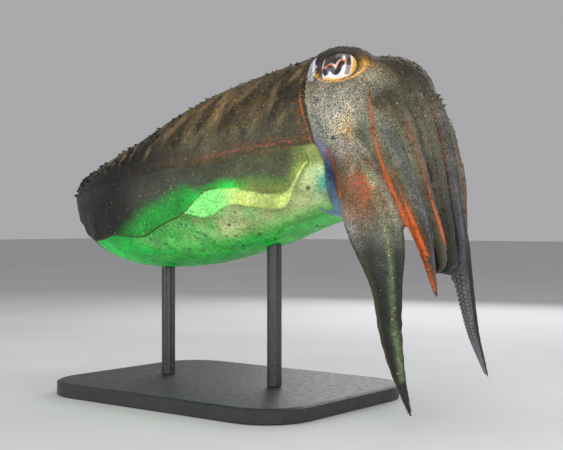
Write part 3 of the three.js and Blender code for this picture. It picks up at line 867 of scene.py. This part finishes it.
def arm_look(places, patchy):
    s, e, number = places.s, places.e, places.arm
    tone = plain_tone("arm_grey", len(s))
    marks = no_marks(len(s))
    is_arm = {k: (number == k).astype(float) for k in ARMS}

    fourth = is_arm[4]
    tone = tint(tone, "arm_base", fourth * rise(0.36, 0.16, s))
    tone = tint(tone, "arm_rust", 0.4 * fourth * bump(s, 0.16, 0.08) * rise(0.6, -0.3, e + 0.3 * patchy))
    tone = tint(tone, "arm_low", rise(0.25, 0.7, s) * (1 - fourth))
    tone = tint(tone, "arm_slate", fourth * rise(0.2, 0.4, s + 0.05 * e))
    tone = tint(tone, "arm_low", 0.8 * fourth * rise(0.3, 0.55, s))
    tone = tint(tone, "arm_pale", 0.8 * fourth * bump(e, 0.75, 0.22) * bump(s, 0.2, 0.12))
    tone = tint(tone, "arm_olive", fourth * 0.8 * rise(0.55, 0.95, e) * rise(0.25, 0.45, s))

    third = is_arm[3]
    tone = tint(tone, "arm_olive", third * 0.5 * bump(e, 0.1, 0.4) * rise(0.1, 0.3, s))
    second = is_arm[2]
    tone = tint(tone, "arm_olive", second * 0.7 * bump(e, -0.2, 0.5))
    first = is_arm[1]
    # painted shade: the first arm, turned from the light, is darker
    tone = tint(tone, "arm_shade", first * (0.6 + 0.4 * rise(0.3, 0.9, s)))
    # painted highlight: a pale band along one edge of each of the first three arms
    highlight_band = 0.75 * bump(e, -0.62, 0.28) * rise(0.08, 0.25, s)
    tone = tint(tone, "arm_edge_highlight", (third + second + first) * highlight_band)
    tone = tint(tone, "head_top", (first + second) * 0.85 * rise(0.2, 0.06, s))
    tone = tint(tone, "head_side", (fourth + third) * rise(0.12, 0.02, s))
    # painted shade: the edges of each arm darken in the creases where the arms meet
    tone = tint(tone, "arm_shade", 0.7 * rise(0.8, 1.05, np.abs(e)) * rise(0.1, 0.3, s))
    inner = rise(-0.1, -0.5, places.out) * rise(0.1, 0.2, s)
    tone = tint(tone, "inner", 0.9 * inner)

    marks["dark"] = (0.75 - 0.25 * rise(0.5, 1, s)) * (1 - 0.8 * inner)
    marks["grit"] = 0.5 * (first + second) * rise(0.6, 0.1, s) * (1 - inner)
    marks["pale"] = (0.2 + 0.4 * (first + second) * rise(0.45, 0.05, s)) * (1 - inner)
    stripe = third * bump(e, 0.45, 0.35) * rise(0.3, 0.6, s)
    base = fourth * rise(0.34, 0.16, s) * rise(-1.1, -0.6, e) * (0.5 + 0.3 * patchy)
    marks["warm"] = np.maximum(base, stripe)
    return tone, marks


def fin_look(t, w, patchy):
    u = (t - FIN_START) / (FIN_END - FIN_START)
    edge = through(FIN_LINE, u)
    lobe = rise(0.0, 0.03, w - edge)
    low = through(FIN_GREY, u) + 0.05 * patchy
    lit = rise(low, low + 0.3, w)
    tone = plain_tone("fin_middle", len(t))
    tone = tint(tone, "fin_front", rise(0.4, 0.1, u))
    # painted shade: the fin fades to near-black toward the rear
    tone = tint(tone, "fin_rear_shade", rise(0.4, 0.62, u))
    tone = tint(tone, "fin_root", 0.5 * rise(0.22, 0.08, w + 0.05 * patchy) * rise(0.5, 0.25, u))
    tone = tint(tone, "fin_green", lit * rise(0.62, 0.5, u))
    tone = tint(tone, "fin_bright", lit * bump(u, 0.24, 0.07))
    tone = tint(tone, "fin_yellow", np.maximum(lit * rise(0.2, 0.13, u), rise(0.05, 0.0, u)))
    tone = tint(tone, "lobe", lobe)
    tone = tint(tone, "belly_middle", lobe * rise(0.17, 0.24, u))
    marks = no_marks(len(t))
    row = bump(w, 0.75, 0.025) * bump(u, 0.09, 0.05)
    patch = bump(w, 0.93, 0.06) * bump(u, 0.31, 0.025)
    marks["dark"] = np.maximum(0.4 * rise(0.7, 0.3, w), np.maximum(row, patch))
    marks["pale"] = 0.4 * rise(0.1, 0.3, w) * rise(0.95, 0.6, u) * (1 - lobe)
    marks["warm"] = 0.4 * bump(w, 0.12, 0.045) * rise(0.4, 0.2, u)
    brown = bump(w - edge, -0.015, 0.022) * rise(0.2, 0.24, u)
    marks["rim"] = np.maximum(brown, 0.8 * bump(w, 0.985, 0.02))
    return tone, marks


def patches(points, size, seed):
    """A slow random field over space, about -1 to 1."""
    rng = np.random.default_rng(seed)
    total = np.zeros(len(points))
    for _ in range(14):
        wave = unit(rng.normal(size=3)) * 2 * np.pi / (size * rng.uniform(0.6, 1.6))
        total += np.sin(points @ wave + rng.uniform(0, 2 * np.pi))
    return total / 4


def stroke_distance(points, path):
    """How far each point is from a line through places on the skin, both sides alike. Depth counts little."""
    folded = points.copy()
    folded[:, 1] = -np.abs(folded[:, 1])
    depth = np.array([-math.sin(CAMERA_AZIMUTH), math.cos(CAMERA_AZIMUTH), 0])
    flatten = np.eye(3) - (1 - MARK_DEPTH) * np.outer(depth, depth)
    folded = folded @ flatten
    path = np.asarray(path, float) @ flatten
    best = np.full(len(points), 99.0)
    place = np.zeros(len(points))
    for k, (a, b) in enumerate(zip(path, path[1:])):
        along = np.clip((folded - a) @ (b - a) / ((b - a) @ (b - a)), 0, 1)
        distance = np.linalg.norm(folded - a - along[:, None] * (b - a), axis=1)
        place = np.where(distance < best, (k + along) / (len(path) - 1), place)
        best = np.minimum(best, distance)
    return best, place


def add_strokes(points, tone, marks, patchy):
    for mark, widths, path in STROKES.values():
        distance, along = stroke_distance(points, path)
        width = lerp(*widths, along) * (1.1 + 0.3 * patchy)
        amount = bump(distance, 0, width)
        if mark == "line":
            amount = amount * lerp(0.6, 1, rise(0.1, 0.6, along))
            marks["line"] = np.maximum(marks["line"], amount)
            marks["warm"] = np.maximum(marks["warm"], 0.5 * bump(distance, 0, 3 * width))
            tone = tint(tone, "arm_rust", 0.5 * bump(distance, 0, 2.5 * width))
        elif mark == "grey":
            tone = tint(tone, "arm_mark", 0.6 * amount)
        elif mark == "rust":
            tone = tint(tone, "arm_rust", 0.7 * amount)
        else:
            marks["pale"] = np.maximum(marks["pale"], amount)
            tone = tint(tone, "arm_green", 0.35 * amount)
    for place, radius in SPOTS:
        distance = stroke_distance(points, [place, np.array(place) + 0.01])[0]
        tone = tint(tone, "ink", 0.8 * rise(1.3 * radius, 0.5 * radius, distance))
    return tone, marks


def body_look(points):
    places = Places(points)
    patchy = patches(points, 14, SEED)
    mantle_tone, mantle_marks = mantle_look(places, patchy)
    head_tone, head_marks = head_look(places, patchy)
    arm_tone, arm_marks = arm_look(places, patchy)
    arm = rise(1.35, 1.05, places.arm_distance) * rise(0.02, 0.1, places.s)
    arm = np.where(places.on_mantle, 0, arm)
    mantle = places.on_mantle.astype(float)
    tone = lerp(lerp(head_tone, arm_tone, arm[:, None]), mantle_tone, mantle[:, None])
    marks = {k: lerp(lerp(head_marks[k], arm_marks[k], arm), mantle_marks[k], mantle) for k in head_marks}
    return add_strokes(points, tone, marks, patchy)


def paint(obj, tone, marks):
    """Stores the tone and the marks on the points, for the node materials to read."""
    colours = obj.data.attributes.new("tone", "FLOAT_COLOR", "POINT")
    colours.data.foreach_set("color", np.column_stack([tone, np.ones(len(tone))]).astype(np.float32).ravel())
    for name, values in marks.items():
        amounts = obj.data.attributes.new(name, "FLOAT", "POINT")
        amounts.data.foreach_set("value", np.clip(values, 0, 1).astype(np.float32))


def roughened(points, faces):
    """Sinks the skin a little here and there where it is warty, so that its outline is uneven."""
    marks = body_look(points)[1]
    corners = points[faces]
    across = np.cross(corners[:, 2] - corners[:, 0], corners[:, 3] - corners[:, 1])
    outward = np.zeros_like(points)
    for k in range(4):
        for axis in range(3):
            outward[:, axis] += np.bincount(faces[:, k], across[:, axis], len(points))
    lumps = 0.55 * patches(points, 4.2, SEED + 3) + 0.45 * patches(points, 2.1, SEED + 4)
    depth = (0.12 + 0.5 * marks["grit"]) * rise(-0.6, 1.2, lumps)
    return points - unit(outward) * depth[:, None]


def make_skin(material):
    rng = np.random.default_rng(SEED)
    points, faces = skin_form()
    points = roughened(points, faces)
    body = Mesh()
    body.add(points, faces)
    back_papillae(body, rng)
    skin = body.build("skin", material)
    tone, marks = body_look(np.vstack(body.points))
    paint(skin, tone, marks)
    fins = []
    for name, side in SIDES.items():
        rings = fin_rings(side)
        rows, around = rings.shape[:2]
        blade = Mesh()
        blade.loft(rings)
        made = blade.build("fin_blade_" + name, material)
        w = np.concatenate([np.linspace(0, 1, around // 2), np.linspace(1, 0, around // 2)])
        t = np.repeat(np.linspace(FIN_START, FIN_END, rows), around)
        ends = [FIN_START, FIN_END]
        w = np.concatenate([np.tile(w, rows), [0.5, 0.5]])
        patchy = patches(np.vstack(blade.points), 14, SEED)
        tone, marks = fin_look(np.concatenate([t, ends]), w, patchy)
        paint(made, tone, marks)
        fins.append(made)
    with bpy.context.temp_override(active_object=skin, object=skin, selected_editable_objects=[skin, *fins]):
        bpy.ops.object.join()
    return skin


# Materials
class Shade:
    """A material's nodes, made by short calls. Sizes of patterns are in millimetres."""

    def __init__(self, name):
        self.material = bpy.data.materials.new(name)
        self.material.use_nodes = True
        self.nodes = self.material.node_tree.nodes
        self.shader = self.nodes["Principled BSDF"]
        self.place = self.nodes.new("ShaderNodeTexCoord").outputs["Object"]

    def link(self, value, socket):
        if isinstance(value, bpy.types.NodeSocket):
            self.material.node_tree.links.new(value, socket)
        elif value is not None:
            socket.default_value = value

    def attribute(self, name, output="Fac"):
        node = self.nodes.new("ShaderNodeAttribute")
        node.attribute_name = name
        return node.outputs[output]

    def noise(self, size, detail=3.0, roughness=0.55):
        node = self.nodes.new("ShaderNodeTexNoise")
        self.link(self.place, node.inputs["Vector"])
        node.inputs["Scale"].default_value = 1 / (size * MM)
        node.inputs["Detail"].default_value = detail
        node.inputs["Roughness"].default_value = roughness
        return node.outputs["Fac"]

    def cells(self, size):
        node = self.nodes.new("ShaderNodeTexVoronoi")
        self.link(self.place, node.inputs["Vector"])
        node.inputs["Scale"].default_value = 1 / (size * MM)
        node.inputs["Randomness"].default_value = 1.0
        return node.outputs["Distance"]

    def math(self, operation, a, b=None):
        node = self.nodes.new("ShaderNodeMath")
        node.operation = operation
        self.link(a, node.inputs[0])
        self.link(b, node.inputs[1])
        return node.outputs[0]

    def ramp(self, value, start, end, low=0.0, high=1.0):
        node = self.nodes.new("ShaderNodeMapRange")
        node.interpolation_type = "SMOOTHSTEP"
        self.link(value, node.inputs["Value"])
        for name, number in (("From Min", start), ("From Max", end), ("To Min", low), ("To Max", high)):
            node.inputs[name].default_value = number
        return node.outputs["Result"]

    def mix(self, amount, a, b, blend="MIX"):
        node = self.nodes.new("ShaderNodeMix")
        node.data_type = "RGBA"
        node.blend_type = blend
        self.link(amount, node.inputs[0])
        self.link(a, node.inputs[6])
        self.link(b, node.inputs[7])
        return node.outputs[2]

    def bump(self, height, distance, strength=1.0, below=None):
        node = self.nodes.new("ShaderNodeBump")
        node.inputs["Strength"].default_value = strength
        node.inputs["Distance"].default_value = distance * MM
        self.link(height, node.inputs["Height"])
        self.link(below, node.inputs["Normal"])
        return node.outputs["Normal"]

    def set(self, **values):
        for name, value in values.items():
            self.link(value, self.shader.inputs[name.replace("_", " ")])
        return self.material


def rgba(colour):
    return (*map(float, colour), 1.0)


def dots(shade, size, radius, mark, ragged=0.35):
    """Spots of about this radius in cells of this size, thinned where the mark is weak."""
    amount = shade.attribute(mark)
    wobble = shade.math("MULTIPLY", shade.math("SUBTRACT", shade.noise(size * 0.7, 1), 0.5), ragged)
    distance = shade.math("ADD", shade.cells(size), wobble)
    reach = shade.math("MULTIPLY", shade.ramp(amount, 0, 1, 0.25, 1.25), radius / size)
    inside = shade.ramp(shade.math("SUBTRACT", reach, distance), -0.07, 0.07)
    return shade.math("MULTIPLY", inside, shade.ramp(amount, 0.02, 0.3))


def skin_material():
    shade = Shade("cuttlefish skin")
    tone = shade.attribute("tone", "Color")
    broad = shade.ramp(shade.noise(9, 4), 0.3, 0.7, 0.72, 1.24)
    fine = shade.ramp(shade.noise(1.0, 4, 0.7), 0.3, 0.7, 0.64, 1.3)
    mottle = shade.math("MULTIPLY", broad, fine)
    colour = shade.mix(1.0, tone, mottle, "MULTIPLY")
    grit = shade.attribute("grit")
    brown = shade.math("MULTIPLY", shade.ramp(shade.noise(1.3, 5, 0.7), 0.46, 0.62), grit)
    browner = shade.mix(1.0, colour, (2.0, 1.25, 0.5, 1.0), "MULTIPLY")
    colour = shade.mix(brown, colour, browner)
    dark = dots(shade, 0.46, 0.17, "dark")
    colour = shade.mix(shade.math("MULTIPLY", dark, 0.85), colour, rgba(srgb(34, 27, 20)))
    pale = dots(shade, 1.6, 0.2, "pale")
    colour = shade.mix(shade.math("MULTIPLY", pale, 0.75), colour, rgba(srgb(214, 206, 120)))
    warm = dots(shade, 0.7, 0.3, "warm", 0.5)
    colour = shade.mix(shade.math("MULTIPLY", warm, 0.8), colour, rgba(srgb(196, 84, 34)))
    broken = shade.ramp(shade.noise(2.2, 3), 0.3, 0.52)
    line = shade.math("MULTIPLY", shade.ramp(shade.attribute("line"), 0.2, 0.85), broken)
    colour = shade.mix(shade.math("MULTIPLY", line, 0.75), colour, rgba(srgb(228, 104, 36)))
    fleck = dots(shade, 3.2, 0.55, "fleck", 0.5)
    colour = shade.mix(shade.math("MULTIPLY", fleck, 0.7), colour, rgba(srgb(20, 150, 110)))
    rim = shade.ramp(shade.attribute("rim"), 0.3, 0.75)
    colour = shade.mix(shade.math("MULTIPLY", rim, 0.75), colour, rgba(srgb(58, 60, 22)))
    grain = shade.bump(shade.noise(0.7, 3), 0.12)
    rugged = shade.math("MULTIPLY", shade.noise(2.2, 5, 0.65), shade.ramp(grit, 0, 1, 0.2, 1.0))
    grain = shade.bump(rugged, 0.9, 0.8, grain)
    rough = shade.ramp(shade.noise(2.5, 2), 0.3, 0.7, 0.4, 0.6)
    shade.set(Base_Color=colour, Roughness=rough, Normal=grain)
    return shade.set(Specular_IOR_Level=0.25, Coat_Weight=0.06, Coat_Roughness=0.2)


def pale_material():
    shade = Shade("pale moist flesh")
    tone = shade.attribute("tone", "Color")
    mottle = shade.ramp(shade.noise(2.4, 4), 0.3, 0.7, 0.78, 1.15)
    colour = shade.mix(1.0, tone, mottle, "MULTIPLY")
    speck = dots(shade, 1.1, 0.4, "dark")
    colour = shade.mix(shade.math("MULTIPLY", speck, 0.6), colour, rgba(srgb(84, 60, 70)))
    grain = shade.bump(shade.noise(0.8, 3), 0.1)
    return shade.set(Base_Color=colour, Roughness=0.38, Normal=grain, Coat_Weight=0.3, Coat_Roughness=0.15)


def eye_material():
    shade = Shade("glossy eye")
    tone = shade.attribute("tone", "Color")
    grain = shade.ramp(shade.noise(0.45, 3), 0.3, 0.7, 0.75, 1.2)
    colour = shade.mix(1.0, tone, grain, "MULTIPLY")
    shade.set(Base_Color=colour, Roughness=0.3, Specular_IOR_Level=0.5)
    return shade.set(Coat_Weight=1.0, Coat_Roughness=0.03)


def stand_base_material():
    shade = Shade("matt black paint")
    colour = shade.ramp(shade.noise(5, 4), 0.3, 0.7, 0.018, 0.026)
    grain = shade.bump(shade.noise(0.5, 2), 0.03)
    rough = shade.ramp(shade.noise(3, 3), 0.3, 0.7, 0.42, 0.55)
    return shade.set(Base_Color=colour, Roughness=rough, Normal=grain)


def stand_rod_material():
    shade = Shade("brushed steel rod")
    colour = shade.ramp(shade.noise(1.2, 4), 0.3, 0.7, 0.08, 0.11)
    rough = shade.ramp(shade.noise(0.6, 3), 0.3, 0.7, 0.36, 0.48)
    return shade.set(Base_Color=colour, Roughness=rough, Metallic=1.0)


# The eyes: glossy balls with the bent pupil
PUPIL = {"from": -5.7, "to": 2.0, "height": [-1.3, -2.3, -0.8, -1.4, -2.6, -2.0, 0.7]}
PUPIL_THICKNESS = 1.9


def pupil_distance(a, b):
    """How far each place on the eye is from the pupil's middle line."""
    path = np.linspace(0, 1, 90)
    path_a = lerp(PUPIL["from"], PUPIL["to"], path)
    path_b = through(PUPIL["height"], path)
    best = np.full(len(a), 99.0)
    above = np.zeros(len(a))
    for x, y in zip(path_a, path_b):
        distance = np.hypot(a - x, b - y)
        above = np.where(distance < best, np.sign(b - y), above)
        best = np.minimum(best, distance)
    return best, above


def eye_look(a, b):
    tone = plain_tone("silver", len(a)) * 0.9
    eye_colours = {
        "shade": srgb(34, 32, 22),
        "lilac": srgb(235, 228, 245),
        "white": srgb(250, 246, 235),
        "ink": srgb(4, 3, 5),
        "purple": srgb(34, 20, 34),
        "brown": srgb(44, 24, 16),
        "gold": srgb(240, 180, 60),
        "orange": srgb(235, 110, 30),
    }

    def lay(name, amount):
        nonlocal tone
        tone = lerp(tone, eye_colours[name], np.clip(amount, 0, 1)[:, None])

    lay("lilac", rise(-1.2, -3.0, b))
    lay("shade", rise(-0.9, 0.6, b) * rise(-6.6, -5.6, a) * rise(3.2, 2.0, a - 0.2 * b))
    ring = np.hypot(a / 9.4, b / 7.6)
    lay("purple", bump(a + 7.3 - 0.05 * b * b, 0, 0.7) * 1.3)
    lay("white", bump(a + 6.5 - 0.04 * b * b, 0, 0.3) * 1.2)
    lay("white", bump(a - 2.7 + 0.04 * b * b, 0, 0.6) * rise(4.5, 3.0, b))
    lay("orange", 0.6 * bump(a - 3.5 + 0.05 * b * b, 0, 0.3))
    lay("brown", bump(a - 4.3 + 0.05 * b * b, 0, 0.8) * 1.6)
    lay("gold", rise(5.0, 5.5, a + 0.05 * b * b))
    lay("white", bump(a - 5.4 + 0.05 * b * b, 0, 0.25) * rise(-2, 2, b))
    lay("white", rise(0.5, 0.56, ring) * rise(-3.0, -3.8, b))
    lay("gold", rise(0.6, 0.66, ring) * rise(-3.6, -4.4, b))
    lay("orange", rise(6.6, 7.6, a))
    distance, above = pupil_distance(a, b)
    edge = bump(distance, PUPIL_THICKNESS / 2 + 0.3, 0.24)
    lay("orange", edge * (above > 0) * 1.2)
    # painted glint: a white band just above the middle of the pupil
    lay("white", bump(distance, PUPIL_THICKNESS / 2 + 0.7, 0.25) * (above > 0) * bump(a, -0.6, 1.6))
    lay("ink", rise(PUPIL_THICKNESS / 2 + 0.12, PUPIL_THICKNESS / 2 - 0.08, distance))
    return tone


def make_eye(name, side, material):
    centre, along, look, up = eye_frame(side)
    ball = Mesh()
    rows, sides = 150, 240
    rings = []
    for j in range(1, rows):
        polar = math.pi * j / rows
        a = circle(sides)
        flat = along * np.cos(a)[:, None] + up * np.sin(a)[:, None]
        rings.append(centre + (EYE_RADIUS - 0.05) * (flat * math.sin(polar) + look * math.cos(polar)))
    ball.loft(rings)
    made = ball.build("eye_" + name + "_ball", material)
    delta = np.vstack(ball.points) - centre
    tone = eye_look(delta @ along, delta @ up)
    tone = lerp(tone, COLOURS["head_low"], rise(0.5, -1, delta @ look)[:, None])
    paint(made, tone, {})
    return made


# Suckers, funnel and mouth: profiles as (half width, height)
SUCKER_PROFILE = [
    (0.5, -0.8), (0.55, 0.05), (0.86, 0.3), (1.0, 0.62), (0.96, 0.82), (0.76, 0.86), (0.6, 0.66), (0.3, 0.4)
]
MOUTH_PROFILE = [(0.1, 0), (8, 0), (7.6, 3), (5.8, 6.5), (3.2, 8.6), (1.9, 8), (1.2, 5.6), (0.1, 5)]


def sucker_cup(mesh, foot, axis, left, other, radius):
    """A round cup with a turned rim and a hollow middle."""
    a = circle(14)
    ring = left * np.cos(a)[:, None] + other * np.sin(a)[:, None]
    mesh.loft([foot + axis * height * radius + ring * size * radius for size, height in SUCKER_PROFILE])


def make_suckers(material):
    cups = Mesh()
    for arm in ARMS.values():
        for side in SIDES.values():
            s = SUCKERS_START
            while s < SUCKERS_END:
                place = np.array(s)
                centre, tangent, outward, across = arm_frame(arm, side, place)
                breadth = through(arm["breadth"], place) / 2
                thickness = through(arm["thickness"], place) / 2 * INNER_FLATNESS
                radius = 0.12 + 0.135 * breadth
                for k, aside in enumerate((-0.62, -0.22, 0.22, 0.62)):
                    ahead = tangent * radius * (0.55 if k % 2 else -0.55)
                    depth = math.sqrt(1 - aside * aside)
                    foot = centre + ahead + across * aside * breadth - outward * depth * thickness
                    axis = unit(across * aside / breadth - outward * depth / thickness)
                    left = unit(np.cross(tangent, axis))
                    sucker_cup(cups, foot, axis, left, np.cross(axis, left), radius)
                farther = arm_point(arm, side, min(1, s + 0.01))
                length = np.linalg.norm(farther - arm_point(arm, side, s)) / 0.01
                s += 2.25 * radius / length
    made = cups.build("suckers", material)
    count = len(made.data.vertices)
    paint(made, plain_tone("inner", count) * 1.1, {"dark": np.zeros(count)})
    return made


def make_funnel(material):
    start = from_mantle(OPENING_FLOOR, 0, -15).reshape(3)
    end = np.array([79.0, 0.0, 80.0])
    bore = 0.74
    outside = [(0, 27, 12.5), (0.25, 26, 12), (0.5, 15, 9), (0.72, 8.6, 6.4), (0.9, 7.2, 5.4), (1, 6.8, 5)]
    stations, wide, high = zip(*outside)
    rings = []

    def ring(u, half_wide, half_high):
        pitch = lerp(MANTLE_PITCH, math.radians(-14), rise(0, 1, u))
        up = np.array([-math.sin(pitch), 0, math.cos(pitch)])
        a = circle(72)
        crease = 1 + 0.015 * np.sin(7 * a)
        centre = lerp(start, end, u)
        wide_part = SIDEWAYS * (np.cos(a) * half_wide * crease)[:, None]
        return centre + wide_part + up * (np.sin(a) * half_high)[:, None]

    for u in np.linspace(0, 1, 40):
        rings.append(ring(u, np.interp(u, stations, wide) - 0.1, np.interp(u, stations, high) - 0.1))
    for u, size in ((1.0, 0.9), (0.985, bore), (0.9, bore * 0.94), (0.75, bore * 0.88)):
        rings.append(ring(u, 6.8 * size, 5 * size))
    tube = Mesh()
    tube.loft(rings)
    points = np.vstack(tube.points)
    made = tube.build("funnel_tube", material)
    tone = tint(plain_tone("collar_blue", len(points)), "collar", rise(84, 98, points[:, 2]))
    paint(made, tone, {"dark": 0.25 * rise(62, 78, points[:, 0])})
    return made


def make_mouth(material):
    axis = np.array([math.cos(CROWN_PITCH), 0, math.sin(CROWN_PITCH)])
    up = np.cross(axis, SIDEWAYS)
    foot = CROWN + 6 * axis
    a = circle(96)
    rings = []
    for k in np.linspace(0, 1, 48):
        radius, height = (np.interp(k * 7, range(8), values) for values in zip(*MOUTH_PROFILE))
        folds = radius * (1 - 0.05 + 0.05 * np.cos(16 * a) * math.sin(math.pi * k))
        round_about = SIDEWAYS * (np.cos(a) * folds)[:, None] + up * (np.sin(a) * folds)[:, None]
        rings.append(foot + axis * height + round_about)
    lips = Mesh()
    lips.loft(rings)
    made = lips.build("mouth_lips", material)
    count = len(made.data.vertices)
    paint(made, plain_tone("inner", count), {"dark": np.full(count, 0.3)})
    return made


# The stage: a plain pale floor, and soft studio light from all round
def make_stage():
    floor = Mesh()
    corners = [[x * FLOOR_REACH, y * FLOOR_REACH, 0] for x, y in ((-1, -1), (1, -1), (1, 1), (-1, 1))]
    floor.add(corners, [(0, 1, 2, 3)])
    shade = Shade("pale floor")
    colour = shade.ramp(shade.noise(120, 3), 0.3, 0.7, 0.6, 0.64)
    made = floor.build("floor", shade.set(Base_Color=colour, Roughness=0.8, Specular_IOR_Level=0.2))
    world = bpy.data.worlds.new("soft studio")
    world.use_nodes = True
    world.node_tree.nodes["Background"].inputs["Color"].default_value = BACKGROUND
    bpy.context.scene.world = world


def make_lights():
    for name, (place, target, size, watts, colour) in LIGHTS.items():
        data = bpy.data.lights.new(name, "AREA")
        data.energy = watts
        data.size = size * MM
        data.color = colour
        lamp = bpy.data.objects.new(name, data)
        bpy.context.scene.collection.objects.link(lamp)
        place, target = Vector(place) * MM, Vector(target) * MM
        lamp.location = place
        lamp.visible_camera = False
        lamp.rotation_euler = (target - place).to_track_quat("-Z", "Y").to_euler()


def make_camera():
    data = bpy.data.cameras.new("camera")
    data.sensor_width = SENSOR
    data.lens = CAMERA_LENS
    data.clip_start = 0.01
    data.clip_end = 20
    camera = bpy.data.objects.new("camera", data)
    camera.location = Vector(CAMERA_PLACE * MM)
    camera.rotation_euler = (math.pi / 2, 0, CAMERA_AZIMUTH)
    bpy.context.scene.collection.objects.link(camera)
    bpy.context.scene.camera = camera


# The whole scene
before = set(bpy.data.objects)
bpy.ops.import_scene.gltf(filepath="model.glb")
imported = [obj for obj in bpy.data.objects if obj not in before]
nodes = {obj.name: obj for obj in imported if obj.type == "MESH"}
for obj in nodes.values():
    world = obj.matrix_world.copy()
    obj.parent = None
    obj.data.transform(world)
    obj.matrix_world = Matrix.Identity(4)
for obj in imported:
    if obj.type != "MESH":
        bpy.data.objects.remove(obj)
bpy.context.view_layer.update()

skin = make_skin(skin_material())
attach(skin, "root")
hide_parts("mantle", "head", "fin_left", "fin_right", *[n for n in nodes if n.startswith("arm_")])

eye_gloss = eye_material()
for name, side in SIDES.items():
    eye = make_eye(name, side, eye_gloss)
    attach(eye, "root")
    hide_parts("eye_" + name)

flesh = pale_material()
funnel = make_funnel(flesh)
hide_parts("funnel")
mouth = make_mouth(flesh)
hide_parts("mouth")
for piece in (funnel, mouth, make_suckers(flesh)):
    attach(piece, "root")

stand_finish = {"stand_base": stand_base_material(), "stand_rod": stand_rod_material()}
for name, node in nodes.items():
    if name.startswith("stand_"):
        slot = "stand_base" if name == "stand_base" else "stand_rod"
        node.data.materials.clear()
        node.data.materials.append(stand_finish[slot])

make_stage()
make_lights()
make_camera()
bpy.context.scene.view_settings.view_transform = "Standard"
